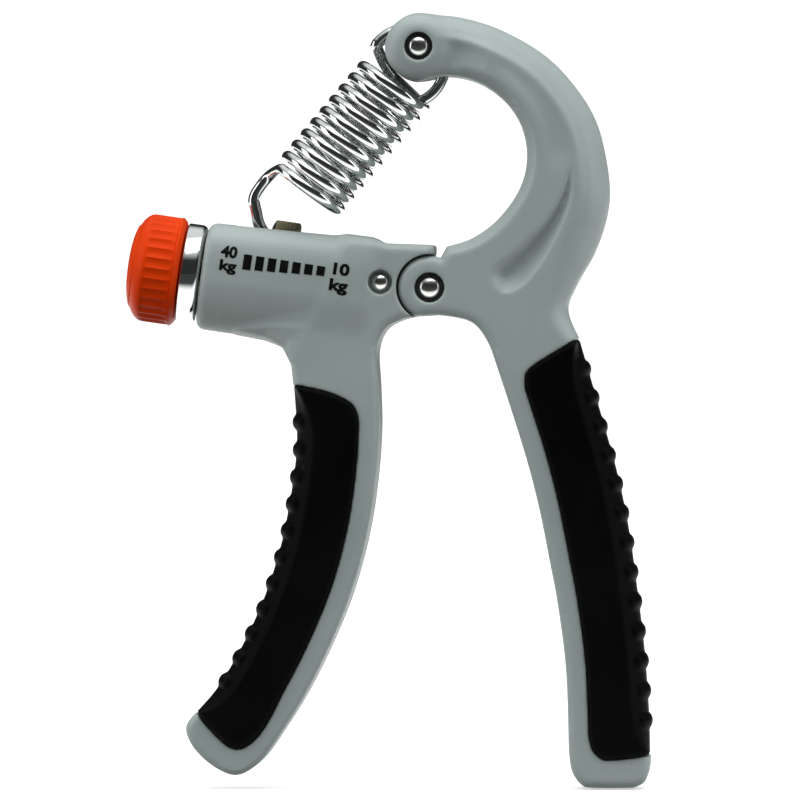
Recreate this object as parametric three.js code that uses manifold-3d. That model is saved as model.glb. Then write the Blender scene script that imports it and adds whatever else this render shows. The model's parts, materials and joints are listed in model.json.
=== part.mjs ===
// Adjustable hand grip strengthener: two moulded levers on a rivet, held apart by a tension spring
// whose lower hook is moved along the barrel by a knob and a screw. Millimetres, +Z up, +X to the
// right as seen from the front, -Y towards the front. The origin is under the middle of the object.
import * as THREE from 'three';
import { mergeVertices } from 'three/addons/utils/BufferGeometryUtils.js';
import Module from 'manifold-3d';

const wasm = await Module();
wasm.setup();

// ---- Driving dimensions -------------------------------------------------------------------------
const SEAT = 0.15;               // gap between pieces that seat on each other
const CLEAR = 0.3;               // gap round inserts, pads and pieces in the barrel
const RUN = 0.5;                 // gap between pieces that move past each other

const PIVOT = [8.0, 99.6];       // main rivet, X and Z
const EAR_R = 6.2;               // round ears of the right lever about the main rivet
const EAR_T = 4.8;               // thickness of each ear
const LEVER_HALF = 9.8;          // half thickness of both levers
const EDGE_ROUND = 1.8;          // rounding of the levers' edges
const SLIP_T = 0.4;              // slip washers beside the tongue
const PAD_HALF = LEVER_HALF + 0.8; // half thickness over the rubber pads
const PAD_T = 2.4;               // rubber thickness over the back of a handle
const PAD_FACE_T = 1.6;          // rubber thickness over the flat faces of a handle
const PAD_ROUND = 1.0;           // rounding of the pads' edges
const STRIP = 4.0;               // width of bare lever left beside each pad
const BUMP_H = 1.2;              // height of the ribs across the pads

const BARREL_END = [-37.6, 102.1]; // middle of the barrel's open end, X and Z
const BARREL_TILT = 8.3;         // degrees that the barrel falls towards the rivet
const BARREL_R = 10.7;
const BARREL_LEN = 34;
const CHAMBER_R = 5.9;           // bore that the traveller's hub slides in
const CHAMBER_LEN = 30.5;

const SCREW_R = 3.0;             // M6 thread
const SCREW_TIP = 38.4;          // screw's tip, from the barrel's open end
const GROOVE_R = SCREW_R - 0.9;  // neck that the lock pin lies beside
const GROOVE_LEN = 3.6;
const LOCK_X = 35.6;             // lock pin, from the barrel's open end
const HUB_LEN = 5.8;
const HUB_X = 15.2;              // middle of the traveller along the barrel
const TRAVEL_OUT = 6.1;          // travel towards the knob
const TRAVEL_IN = 8.7;           // travel towards the rivet
const EYE_H = 8.2;               // height of the eye above the barrel's axis
const EYE_HEX = 5.0;             // hexagon of the eye, to its corners
const EYE_HALF = 3.3;            // half width of the eye across the slot
const EYE_R = 2.6;

const KNOB_R = BARREL_R + 0.1;
const KNOB_LEN = 10.4;
const KNOB_LIP = 1.1;            // plain lip at the back of the knob
const KNOB_NOSE = 2.4;           // plain nose in front of the ribs
const KNOB_RIBS = 36;
const KNOB_RIB_H = 0.35;
const CAP_R = 6.4;
const COLLAR_R = BARREL_R - 0.7;
const COLLAR_LEN = 4.2;
const COLLAR_BORE = CHAMBER_R + 1;

const RIVET_R = 1.7;             // shank of the main rivet
const RIVET_HEAD_R = 2.1;
const RIVET_RECESS_R = 3.0;
const PIN_R = 1.5;               // shank of the spring pin and of the lock pin
const PIN_HEAD_R = 2.0;
const PIN_RECESS_R = 2.8;
const LOCK_RECESS_R = 2.4;
const RECESS_D = 1.6;            // depth of the recesses for washers and heads
const WASHER_T = 0.6;
const BUSH_R = 2.9;              // bush in the tongue
const HORN_PIN = [5.8, 147.7];   // rivet that carries the spring's loop, X and Z
const HEAD_R = 6.2;              // round head at the end of the horn

const WIRE_R = 1.2;
const COIL_R = 7.3;              // mean radius of the coils
const COIL_PITCH = 2.93;
const COIL_START = 0.6;          // first turn starts this far below the foot of the axis
const HOOK_TURN = 0.12;          // turns at which the hook and the loop leave the coils
const LOOP_TURN = 9.3;
const COIL_FOOT = [-16.6, 119.4]; // lower end of the coils' axis, X and Z
const COIL_HEAD = [0.36, 139.6]; // upper end of the coils' axis, X and Z
const LOOP_R = 7.5;              // mean radius of the closed loop round the spring pin
const HOOK_R = 7.3;              // mean radius of the open hook in the eye

const SCOOP_D = 1.5;             // depth of the hollow in each face of the right lever

// ---- Materials ----------------------------------------------------------------------------------
const finish = (color, roughness, metalness) =>
  new THREE.MeshStandardMaterial({ color, roughness, metalness });
const GREY_PLASTIC = finish(0x9aa3a2, 0.45, 0.1);
const RUBBER = finish(0x17181a, 0.75, 0);
const ORANGE_PLASTIC = finish(0xe24b05, 0.35, 0);
const CHROME = finish(0xd8dadc, 0.12, 1);
const STEEL = finish(0xa8abad, 0.3, 1);
const DARK_STEEL = finish(0x4a4b4a, 0.45, 0.9);
const BRONZE = finish(0x55503a, 0.4, 0.9);
const NYLON = finish(0x222222, 0.6, 0);

// ---- Solids -------------------------------------------------------------------------------------
function solid(geometry) {
  const bare = geometry.clone();
  bare.deleteAttribute('normal');
  bare.deleteAttribute('uv');
  const merged = mergeVertices(bare, 1e-4);
  const corners = merged.index.array;
  const kept = [];
  for (let i = 0; i < corners.length; i += 3) {
    const [a, b, c] = corners.slice(i, i + 3);
    if (a !== b && b !== c && c !== a) kept.push(a, b, c);
  }
  return new wasm.Manifold(new wasm.Mesh({
    numProp: 3,
    vertProperties: new Float32Array(merged.attributes.position.array),
    triVerts: new Uint32Array(kept),
  }));
}

function geometryOf(body) {
  const mesh = body.getMesh();
  const geometry = new THREE.BufferGeometry();
  geometry.setAttribute('position', new THREE.BufferAttribute(mesh.vertProperties, 3));
  geometry.setIndex(new THREE.BufferAttribute(mesh.triVerts, 1));
  geometry.computeVertexNormals();
  return geometry;
}

const join = (...bodies) => bodies.reduce((sum, body) => sum.add(body));
const cut = (body, ...tools) => tools.reduce((left, tool) => left.subtract(tool), body);

// An outline in X and Z, made into a plate from one Y to another with its edges rounded.
function plate(outline, from, to, round = 0) {
  const shape = new THREE.Shape(outline.map(([x, z]) => new THREE.Vector2(x, z)));
  const geometry = new THREE.ExtrudeGeometry(shape, {
    depth: to - from - 2 * round,
    bevelEnabled: round > 0,
    bevelThickness: round,
    bevelSize: round,
    bevelOffset: -round,
    bevelSegments: 2,
  });
  geometry.rotateX(Math.PI / 2);
  geometry.translate(0, to - round, 0);
  return solid(geometry);
}

// The same for an outline in Y and Z, made into a prism from one X to another.
function prism(outline, from, to) {
  const shape = new THREE.Shape(outline.map(([y, z]) => new THREE.Vector2(y, z)));
  const geometry = new THREE.ExtrudeGeometry(shape, { depth: to - from, bevelEnabled: false });
  geometry.rotateX(Math.PI / 2);
  geometry.rotateZ(Math.PI / 2);
  geometry.translate(from, 0, 0);
  return solid(geometry);
}

// A closed profile of [along, radius] pairs, turned about Y with its faces pointing out.
function turned(profile, segments) {
  const points = profile.map(([along, radius]) => new THREE.Vector2(radius, along));
  if (THREE.ShapeUtils.area(points) < 0) points.reverse();
  return new THREE.LatheGeometry(points, segments);
}

function turnedY(profile, [x, z], segments = 24) {
  return solid(turned(profile, segments).translate(x, 0, z));
}

function turnedX(profile, segments = 28) {
  return solid(turned(profile, segments).rotateZ(-Math.PI / 2));
}

const rod = (from, to, radius) => [[from, 0], [to, 0], [to, radius], [from, radius], [from, 0]];
const ring = (from, to, inner, outer) =>
  [[from, inner], [to, inner], [to, outer], [from, outer], [from, inner]];

// A domed rivet head that starts at `under` and stands `height` proud of it; `way` is +1 or -1.
function domed(under, radius, height, way) {
  return [[0, 1], [0.45, 0.92], [0.8, 0.68], [1, 0.36]].map(
    ([rise, share]) => [way * (under + rise * height), radius * share],
  );
}

// A rivet along Y with a domed head at both ends.
function rivet(centre, shank, head, under) {
  const height = LEVER_HALF - under;
  const tail = domed(under, head, height, -1).reverse();
  const nose = domed(under, head, height, 1);
  const profile = [
    [-LEVER_HALF, 0], ...tail, [-under, shank], [under, shank], ...nose, [LEVER_HALF, 0],
    [-LEVER_HALF, 0],
  ];
  return turnedY(profile, centre);
}

// ---- Lines --------------------------------------------------------------------------------------
// A smooth open line through a few points, sampled into `steps` stretches.
function smooth(points, steps) {
  const curve = new THREE.SplineCurve(points.map(([x, z]) => new THREE.Vector2(x, z)));
  return curve.getPoints(steps).map((point) => [point.x, point.y]);
}

function arc([x, z], radius, from, to, steps) {
  const points = [];
  for (let i = 0; i <= steps; i += 1) {
    const angle = THREE.MathUtils.degToRad(from + ((to - from) * i) / steps);
    points.push([x + radius * Math.cos(angle), z + radius * Math.sin(angle)]);
  }
  return points;
}

// The line moved sideways, to its left as it goes from its first point to its last.
function offset(line, distance) {
  return line.map(([x, z], i) => {
    const before = line[Math.max(i - 1, 0)];
    const after = line[Math.min(i + 1, line.length - 1)];
    const along = new THREE.Vector2(after[0] - before[0], after[1] - before[1]).normalize();
    const shift = typeof distance === 'function' ? distance(i) : distance;
    return [x - along.y * shift, z + along.x * shift];
  });
}

// The line with evenly spaced rounded ribs raised on it, on the side away from `inward`. The first
// rib is `first` along the line, and the line stays plain before it and after the last.
function ribbed(line, inward, { first, pitch, count }) {
  const curve = new THREE.SplineCurve(line.map(([x, z]) => new THREE.Vector2(x, z)));
  const steps = Math.round((curve.getLength() / pitch) * 4);
  const even = curve.getSpacedPoints(steps).map((point) => [point.x, point.y]);
  const stretch = curve.getLength() / steps;
  return offset(even, (i) => {
    const turns = (i * stretch - first) / pitch;
    if (turns < -0.5 || turns > count - 0.5) return 0;
    return -inward * BUMP_H * (0.5 + 0.5 * Math.cos(2 * Math.PI * turns));
  });
}

// ---- The barrel's own frame: X along its axis from the open end, Z up from the axis ---------------
const object = new THREE.Group();
const barrelFrame = new THREE.Group();
barrelFrame.position.set(BARREL_END[0], 0, BARREL_END[1]);
barrelFrame.rotation.y = THREE.MathUtils.degToRad(BARREL_TILT);
barrelFrame.updateMatrix();
object.add(barrelFrame);

const fromBarrel = (body) => body.transform(barrelFrame.matrix.toArray());

function onBarrel(along, height) {
  const point = new THREE.Vector3(along, 0, height).applyMatrix4(barrelFrame.matrix);
  return [point.x, point.z];
}

function part(name, body, material, parent = object) {
  const mesh = new THREE.Mesh(geometryOf(body), material);
  mesh.name = name;
  parent.add(mesh);
}

// ---- Outlines of the levers: each inner line faces the other handle and runs downwards, each ------
// outer line runs upwards along the rubber.
const LEFT_INNER = smooth([
  [6.0, 94.0], [2.4, 93.2], [-0.9, 91.2], [-2.5, 87.0], [-2.2, 80.0], [-2.0, 72.0], [-2.6, 62.6],
  [-4.1, 52.1], [-6.7, 41.6], [-10.2, 32.0], [-15.8, 20.2], [-21.7, 10.6], [-26.0, 4.9],
  [-30.5, 2.4], [-35.2, 4.2], [-39.2, 8.0], [-40.6, 12.0], [-38.4, 15.2],
], 44);
const LEFT_OUTER = smooth([
  [-38.4, 15.2], [-34.2, 20.2], [-29.2, 28.8], [-24.9, 38.4], [-22.0, 47.5], [-20.5, 54.3],
  [-19.0, 63.8], [-18.6, 70.5], [-19.2, 80.2],
], 20);
const LEFT_NECK = [[-19.6, 84.2], [-21.4, 87.6], [-25.0, 89.8]];
const RIGHT_INNER = smooth([
  [9.4, 94.2], [13.0, 93.7], [16.8, 92.4], [19.6, 88.7], [21.8, 82.7], [26.6, 67.8], [29.6, 56.6],
  [31.9, 45.2], [33.6, 36.0], [35.2, 23.0], [35.7, 7.5],
], 30);
const RIGHT_FOOT = [...smooth([[35.7, 7.5], [36.3, 3.4], [38.2, 0.6], [40.6, 0]], 6), [48.6, 0]];
const RIGHT_TOE = smooth([[48.6, 0], [50.9, 1.2], [51.9, 4.2], [51.8, 6.6]], 5);
const RIGHT_OUTER = smooth([
  [51.8, 6.6], [51.5, 16.2], [50.6, 28.0], [49.2, 39.6], [47.6, 51.0], [45.3, 62.3], [42.0, 74.2],
  [37.6, 89.4],
], 20);
const HORN_OUTER = smooth([
  [37.6, 89.4], [35.4, 95.2], [37.3, 100.4], [41.0, 107.0], [43.4, 114.5], [43.6, 121.7],
  [41.4, 132.0], [37.0, 139.6], [30.6, 146.2], [21.6, 151.3], [13.5, 153.7], [7.2, 154.1],
], 34);
const HORN_INNER = smooth([
  [6.6, 141.6], [12.6, 141.8], [18.2, 140.2], [23.0, 136.6], [26.3, 131.6], [27.4, 125.4],
  [25.9, 119.2], [21.6, 113.2], [16.4, 109.4], [11.4, 107.8],
], 26);

// ---- Handles: the bare lever, the core under the rubber, and the pad ------------------------------
// side is -1 for the left handle and +1 for the right one, which is towards the handle's middle.
// root is a point of the lever just above the rubber, where the core starts.
const LEFT_GRIP = {
  side: -1, inner: LEFT_INNER.slice(11, 35), outer: LEFT_OUTER, root: [-14, 86],
  ribs: { first: 8.1, pitch: 5.4, count: 11 },
};
const RIGHT_GRIP = {
  side: 1, inner: RIGHT_INNER.slice(11), outer: RIGHT_OUTER, root: [30, 92],
  ribs: { first: 6.9, pitch: 5.98, count: 13 },
};

// The part of a lever's plate that makes room for the rubber, a little longer than the rubber.
function gripPocket({ side, inner, outer }) {
  const bare = offset(inner, side * STRIP);
  const out = side * 4;
  const [footX, footZ] = outer[0];
  const [tipX, tipZ] = outer.at(-1);
  return [
    [bare[0][0], bare[0][1] + RUN], ...bare, [bare.at(-1)[0], bare.at(-1)[1] - RUN],
    [footX, footZ - RUN], [footX + out, footZ - RUN], ...offset(outer.slice(1, -1), -out),
    [tipX + out, tipZ + RUN], [tipX, tipZ + RUN],
  ];
}

// The lever's plate with its grip cut back for the rubber, and the core that the rubber wraps.
function withCore(lever, { side, inner, outer, root }) {
  const core = [
    ...offset(inner, side * (STRIP - 1)), ...offset(outer.slice(1), side * (PAD_T + CLEAR)), root,
  ];
  const coreHalf = LEVER_HALF - PAD_FACE_T;
  const pocket = gripPocket({ side, inner, outer });
  return join(
    cut(lever, plate(pocket, -LEVER_HALF - 1, LEVER_HALF + 1)),
    plate(core, -coreHalf, coreHalf),
  );
}

// The C-shaped rubber: ribbed over the back, flat over both faces, open towards the bare strip.
function pad({ side, inner, outer, root, ribs }) {
  const skin = [...offset(inner, side * (STRIP + CLEAR)), ...ribbed(outer, side, ribs)];
  const hollow = [...offset(inner, side * (STRIP - 3)), ...offset(outer, side * PAD_T), root];
  const hollowHalf = LEVER_HALF - PAD_FACE_T + CLEAR;
  return cut(plate(skin, -PAD_HALF, PAD_HALF, PAD_ROUND), plate(hollow, -hollowHalf, hollowHalf));
}

// ---- Joint of the levers --------------------------------------------------------------------------
const tongueHalf = LEVER_HALF - EAR_T - SLIP_T - 2 * SEAT;
const tongueR = EAR_R - 0.8;
const recessFloor = LEVER_HALF - RECESS_D;
const headUnder = recessFloor + WASHER_T + 2 * SEAT;
const lockPin = onBarrel(LOCK_X, GROOVE_R + PIN_R + SEAT);

const bothFaces = (centre, radius, depth) => [
  turnedY(rod(LEVER_HALF - depth, LEVER_HALF + 2, radius), centre),
  turnedY(rod(-LEVER_HALF - 2, depth - LEVER_HALF, radius), centre),
];
const throughHole = (centre, radius) => turnedY(rod(-LEVER_HALF - 2, LEVER_HALF + 2, radius), centre);

// ---- Left lever -----------------------------------------------------------------------------------
const slotFrom = HUB_X - TRAVEL_OUT - HUB_LEN / 2 - RUN;
const slotTo = HUB_X + TRAVEL_IN + HUB_LEN / 2 + RUN;
const slotHalf = EYE_HALF + RUN;
// A band across the slot, `half` wide each way, between two heights above the barrel's axis.
const band = (half, low, high) => [[-half, low], [half, low], [half, high], [-half, high]];

function leftLever() {
  const blockTop = [onBarrel(26, BARREL_R - 1), [-8.6, 109.2], [-2.0, 108.6], [8.9, 108.0], [8.9, 105.7]];
  const outline = [
    PIVOT, ...LEFT_INNER, ...LEFT_OUTER.slice(1), ...LEFT_NECK,
    onBarrel(9, 1 - BARREL_R), onBarrel(20, -2), ...blockTop,
  ];
  const shell = plate(outline, -LEVER_HALF, LEVER_HALF, EDGE_ROUND);
  const tongue = turnedY(rod(-tongueHalf, tongueHalf, tongueR), PIVOT, 32);
  const barrel = fromBarrel(turnedX([
    [0, 0], [BARREL_LEN, 0], [BARREL_LEN, BARREL_R], [1.8, BARREL_R], [0.5, BARREL_R - 0.5],
    [0, BARREL_R - 1.6], [0, 0],
  ], 40));
  const hollow = fromBarrel(join(
    turnedX(rod(-1, CHAMBER_LEN, CHAMBER_R)),
    turnedX(rod(CHAMBER_LEN - 1, SCREW_TIP + RUN, SCREW_R + CLEAR)),
    prism(band(slotHalf, 0, BARREL_R + 4), slotFrom, slotTo),
  ));
  const earPocket = EAR_T + SLIP_T + 2 * SEAT;
  return cut(
    join(withCore(shell, LEFT_GRIP), tongue, barrel),
    hollow,
    ...bothFaces(PIVOT, EAR_R + RUN, earPocket),
    throughHole(PIVOT, BUSH_R + SEAT),
    throughHole(lockPin, PIN_R + SEAT),
    ...bothFaces(lockPin, LOCK_RECESS_R, RECESS_D),
  );
}

// ---- Right lever ----------------------------------------------------------------------------------
const loopCentre = (() => {
  const pin = new THREE.Vector2(...HORN_PIN);
  const away = new THREE.Vector2(...COIL_HEAD).sub(pin).normalize();
  return pin.addScaledVector(away, LOOP_R - WIRE_R - PIN_R - SEAT).toArray();
})();

// A drop-shaped hollow: a round end that narrows to a point up the horn.
const scoop = smooth([
  [36.2, 124.6], [36.4, 118.6], [34.4, 112.4], [31.0, 105.8], [27.4, 101.0], [23.3, 98.6],
  [20.2, 99.8], [20.0, 103.0], [24.0, 106.8], [29.4, 111.2], [33.6, 117.4], [36.2, 124.6],
], 24).slice(0, -1);

function rightLever() {
  const outline = [
    ...HORN_INNER, [10.2, 105.4], ...arc(PIVOT, EAR_R, 68, 244, 14), ...RIGHT_INNER,
    ...RIGHT_FOOT.slice(1), ...RIGHT_TOE.slice(1), ...RIGHT_OUTER.slice(1),
    ...HORN_OUTER.slice(1), ...arc(HORN_PIN, HEAD_R + 0.2, 92, 264, 14),
  ];
  const shell = plate(outline, -LEVER_HALF, LEVER_HALF, EDGE_ROUND);
  const tongueSlot = LEVER_HALF - EAR_T;
  const slotR = LOOP_R + WIRE_R + 1.4;
  const loopSlot = turnedY(rod(-WIRE_R - 0.8, WIRE_R + 0.8, slotR), loopCentre);
  return cut(
    withCore(shell, RIGHT_GRIP),
    turnedY(rod(-tongueSlot, tongueSlot, EAR_R + SEAT), PIVOT, 32),
    loopSlot,
    throughHole(PIVOT, RIVET_R + SEAT),
    ...bothFaces(PIVOT, RIVET_RECESS_R, RECESS_D),
    throughHole(HORN_PIN, PIN_R + SEAT),
    ...bothFaces(HORN_PIN, PIN_RECESS_R, RECESS_D),
    plate(scoop, LEVER_HALF - SCOOP_D, LEVER_HALF + 2),
    plate(scoop, -LEVER_HALF - 2, SCOOP_D - LEVER_HALF),
  );
}

// ---- Rivets, washers and bush -----------------------------------------------------------------------
function addFasteners() {
  part('pivot_rivet', rivet(PIVOT, RIVET_R, RIVET_HEAD_R, headUnder), STEEL);
  part('spring_pin', rivet(HORN_PIN, PIN_R, PIN_HEAD_R, headUnder), STEEL);
  part('lock_pin', rivet(lockPin, PIN_R, PIN_HEAD_R, recessFloor + SEAT), STEEL);
  part('pivot_bush', turnedY(ring(-tongueHalf, tongueHalf, RIVET_R + SEAT, BUSH_R), PIVOT), BRONZE);
  const faces = [['front', -1], ['rear', 1]];
  for (const [name, way] of faces) {
    const washer = (centre, inner, outer, from, thick) => turnedY(
      ring(...[way * from, way * (from + thick)].sort((a, b) => a - b), inner, outer), centre,
    );
    const from = recessFloor + SEAT;
    part(`pivot_washer_${name}`,
      washer(PIVOT, RIVET_R + SEAT, RIVET_RECESS_R - SEAT, from, WASHER_T), DARK_STEEL);
    part(`spring_pin_washer_${name}`,
      washer(HORN_PIN, PIN_R + SEAT, PIN_RECESS_R - SEAT, from, WASHER_T), DARK_STEEL);
    part(`slip_washer_${name}`,
      washer(PIVOT, BUSH_R - 0.6, tongueR - 0.4, tongueHalf + SEAT, SLIP_T), NYLON);
  }
}

// ---- Screw, traveller, knob and collar: all in the barrel's frame -----------------------------------
const knobBack = -COLLAR_LEN - CLEAR;
const knobFront = knobBack - KNOB_LEN;
const screwHead = knobBack - 5;

function adjustingScrew() {
  const grooveFrom = LOCK_X - GROOVE_LEN / 2;
  const grooveTo = LOCK_X + GROOVE_LEN / 2;
  const shoulder = knobBack + SEAT;
  const body = turnedX([
    [screwHead, 0], [SCREW_TIP, 0], [SCREW_TIP, SCREW_R - 0.5], [SCREW_TIP - 0.5, SCREW_R],
    [grooveTo, SCREW_R], [grooveTo, GROOVE_R], [grooveFrom, GROOVE_R], [grooveFrom, SCREW_R],
    [shoulder, SCREW_R], [shoulder, SCREW_R - 0.5], [screwHead, SCREW_R - 0.5], [screwHead, 0],
  ]);
  const flat = prism(band(SCREW_R, SCREW_R - 1.2, SCREW_R), screwHead - 1, shoulder);
  return cut(body, flat, turnedX(rod(screwHead - 1, screwHead + 4.5, 1.35), 16));
}

function traveller() {
  const from = HUB_X - HUB_LEN / 2;
  const to = HUB_X + HUB_LEN / 2;
  const hexagon = arc([0, EYE_H], EYE_HEX, 90, 390, 5);
  const eye = prism(hexagon, from, to).intersect(prism(band(EYE_HALF, 0, 20), from, to));
  const stem = prism(band(EYE_HALF, 0, EYE_H - 1), from, to);
  const hub = turnedX(rod(from, to, CHAMBER_R - RUN));
  return cut(
    join(hub, stem, eye),
    turnedX(rod(from - 1, to + 1, SCREW_R + 0.12)),
    turnedX(rod(from - 1, to + 1, EYE_R), 20).translate(0, 0, EYE_H),
  );
}

function knob() {
  const ribs = [];
  for (let i = 0; i < KNOB_RIBS * 4; i += 1) {
    const angle = (i * Math.PI) / (KNOB_RIBS * 2);
    const radius = KNOB_R - (i % 4 < 2 ? 0 : KNOB_RIB_H);
    ribs.push([radius * Math.cos(angle), radius * Math.sin(angle)]);
  }
  const ribFrom = knobFront + KNOB_NOSE;
  const ribTo = knobBack - KNOB_LIP;
  const nose = turnedX([
    [knobFront, 0], [ribFrom + 0.5, 0], [ribFrom + 0.5, KNOB_R - 0.5], [ribFrom, KNOB_R - 0.4],
    [knobFront + 0.9, KNOB_R - 1.5], [knobFront + 0.1, KNOB_R - 3.2], [knobFront, 0],
  ], 36);
  const lip = turnedX([
    [ribTo - 0.5, 0], [knobBack, 0], [knobBack, KNOB_R - 0.1], [knobBack - 0.4, KNOB_R + 0.2],
    [ribTo, KNOB_R + 0.2], [ribTo - 0.5, KNOB_R - 0.5], [ribTo - 0.5, 0],
  ], 36);
  const shaft = cut(
    turnedX(rod(screwHead - CLEAR, knobBack + 1, SCREW_R - 0.5 + CLEAR), 20),
    prism(band(SCREW_R + 1, SCREW_R - 1.2 + CLEAR, SCREW_R + 2), screwHead - 1, knobBack + 1),
  );
  return cut(
    join(prism(ribs, ribFrom, ribTo), nose, lip),
    shaft,
    turnedX(rod(knobFront + 1.4, screwHead - 1.2, 3.6), 20),
    turnedX(rod(screwHead - 2, screwHead, 1.6), 16),
    turnedX(rod(knobFront - 1, knobFront + 1.6, CAP_R + SEAT), 36),
  );
}

function addDrive() {
  const inBarrel = (name, body, material) => part(name, body, material, barrelFrame);
  inBarrel('adjusting_screw', adjustingScrew(), STEEL);
  inBarrel('traveller_nut', traveller(), BRONZE);
  inBarrel('knob', knob(), ORANGE_PLASTIC);
  inBarrel('knob_cap', turnedX([
    [knobFront - 0.2, 0], [knobFront + 1.1, 0], [knobFront + 1.1, CAP_R], [knobFront + 0.3, CAP_R],
    [knobFront - 0.1, CAP_R - 1.0], [knobFront - 0.2, 0],
  ], 36), ORANGE_PLASTIC);
  inBarrel('knob_screw', turnedX([
    [knobFront + 1.8, 0], [screwHead + 3.6, 0], [screwHead + 3.6, 1.2], [screwHead - 1.4, 1.2],
    [screwHead - 1.4, 2.9], [knobFront + 2.2, 2.9], [knobFront + 1.8, 2.2], [knobFront + 1.8, 0],
  ], 20), STEEL);
  inBarrel('collar', turnedX([
    [-COLLAR_LEN, COLLAR_BORE], [-CLEAR, COLLAR_BORE], [-CLEAR, COLLAR_R - 0.9],
    [-1.3, COLLAR_R], [0.5 - COLLAR_LEN, COLLAR_R], [-COLLAR_LEN, COLLAR_R - 0.4],
    [-COLLAR_LEN, COLLAR_BORE],
  ], 36), CHROME);
  const bushFace = -COLLAR_LEN + 1.5;
  inBarrel('thrust_washer',
    turnedX(ring(bushFace - CLEAR - 0.8, bushFace - CLEAR, SCREW_R + SEAT, COLLAR_BORE - CLEAR)), NYLON);
  inBarrel('end_bush', turnedX([
    [bushFace, SCREW_R + SEAT], [slotFrom - 0.8, SCREW_R + SEAT], [slotFrom - 0.8, CHAMBER_R - CLEAR],
    [-CLEAR, CHAMBER_R - CLEAR], [-CLEAR, COLLAR_BORE - CLEAR], [bushFace, COLLAR_BORE - CLEAR],
    [bushFace, SCREW_R + SEAT],
  ]), BRONZE);
}

// ---- Spring: a closed coil with a hook below and a loop above, both in the plane Y = 0 --------------
const axisFoot = new THREE.Vector3(COIL_FOOT[0], 0, COIL_FOOT[1]);
const along = new THREE.Vector3(COIL_HEAD[0] - COIL_FOOT[0], 0, COIL_HEAD[1] - COIL_FOOT[1]).normalize();
const across = new THREE.Vector3(along.z, 0, -along.x);
const eye = onBarrel(HUB_X, EYE_H);
const hookCentre = [eye[0] + 1.7, eye[1] + HOOK_R - 0.15];

// A point of the coils after `turn` turns, which start at the spring's lower left.
function coilPoint(turn) {
  const angle = 2 * Math.PI * turn + Math.PI;
  return axisFoot.clone()
    .addScaledVector(along, COIL_PITCH * turn - COIL_START)
    .addScaledVector(across, COIL_R * Math.cos(angle))
    .add(new THREE.Vector3(0, COIL_R * Math.sin(angle), 0));
}

function coilPoints(from, to, perTurn) {
  const count = Math.round((to - from) * perTurn);
  return Array.from({ length: count + 1 }, (_, i) => coilPoint(from + ((to - from) * i) / count));
}

class Coils extends THREE.Curve {
  getPoint(share) {
    return coilPoint(HOOK_TURN + share * (LOOP_TURN - HOOK_TURN));
  }
}

function wire(curve, steps) {
  const corners = arc([0, 0], WIRE_R, 0, 315, 7).map(([x, y]) => new THREE.Vector2(x, y));
  const section = new THREE.Shape(corners);
  return solid(new THREE.ExtrudeGeometry(section, { steps, extrudePath: curve, bevelEnabled: false }));
}

const bent = (points) => new THREE.CatmullRomCurve3(points, false, 'centripetal');
const inPlane = (points) => points.map(([x, z]) => new THREE.Vector3(x, 0, z));

function addSpring() {
  const gap = CLEAR / (2 * Math.PI * COIL_R);
  const turns = LOOP_TURN - HOOK_TURN;
  part('spring_coils', wire(new Coils(), Math.round(turns * 12)), CHROME);
  const shank = [[-2.1, -1.0, 0.9], [-3.3, -3.0, 0.2]].map(([out, down, back]) => axisFoot.clone()
    .addScaledVector(across, out - COIL_R + 1.2)
    .addScaledVector(along, down - COIL_START)
    .add(new THREE.Vector3(0, -back, 0)));
  const hook = [
    ...coilPoints(0.03, HOOK_TURN - gap, 40).reverse(), ...shank,
    ...inPlane(arc(hookCentre, HOOK_R, 182, 303, 9)),
  ];
  part('spring_hook', wire(bent(hook), 28), CHROME);
  const loop = [
    ...coilPoints(LOOP_TURN + gap, 9.87, 12), ...inPlane(arc(loopCentre, LOOP_R, 146, -45, 15)),
  ];
  part('spring_loop', wire(bent(loop), 32), CHROME);
}

part('left_lever', leftLever(), GREY_PLASTIC);
part('right_lever', rightLever(), GREY_PLASTIC);
part('left_grip_pad', pad(LEFT_GRIP), RUBBER);
part('right_grip_pad', pad(RIGHT_GRIP), RUBBER);
addFasteners();
addDrive();
addSpring();

export default object;
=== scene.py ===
import json
import math

import bmesh
import bpy
import numpy as np
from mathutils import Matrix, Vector


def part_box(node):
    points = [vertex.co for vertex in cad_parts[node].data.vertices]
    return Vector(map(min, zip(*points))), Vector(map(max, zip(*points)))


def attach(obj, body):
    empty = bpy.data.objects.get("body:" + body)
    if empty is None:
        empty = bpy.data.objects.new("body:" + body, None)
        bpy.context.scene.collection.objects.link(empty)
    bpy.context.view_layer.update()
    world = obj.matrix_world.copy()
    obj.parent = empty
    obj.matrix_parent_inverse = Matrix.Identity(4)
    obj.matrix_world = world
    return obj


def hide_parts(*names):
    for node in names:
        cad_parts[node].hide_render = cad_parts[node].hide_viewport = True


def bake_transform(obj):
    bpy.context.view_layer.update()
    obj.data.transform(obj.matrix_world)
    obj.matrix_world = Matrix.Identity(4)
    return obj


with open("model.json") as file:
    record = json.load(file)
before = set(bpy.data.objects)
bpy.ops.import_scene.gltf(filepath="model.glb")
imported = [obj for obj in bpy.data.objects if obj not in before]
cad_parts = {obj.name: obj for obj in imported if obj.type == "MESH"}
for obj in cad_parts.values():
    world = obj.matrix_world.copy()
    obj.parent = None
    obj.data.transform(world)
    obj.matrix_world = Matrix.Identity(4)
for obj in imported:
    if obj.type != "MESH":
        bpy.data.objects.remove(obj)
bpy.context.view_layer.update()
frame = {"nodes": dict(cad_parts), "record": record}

# An adjustable hand grip strengthener. Every size below is in millimetres, in the frame's axes: X to
# the right and Z up as seen from the front, Y to the back. MM turns a size into the frame's metres.
MM = 0.001

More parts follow.
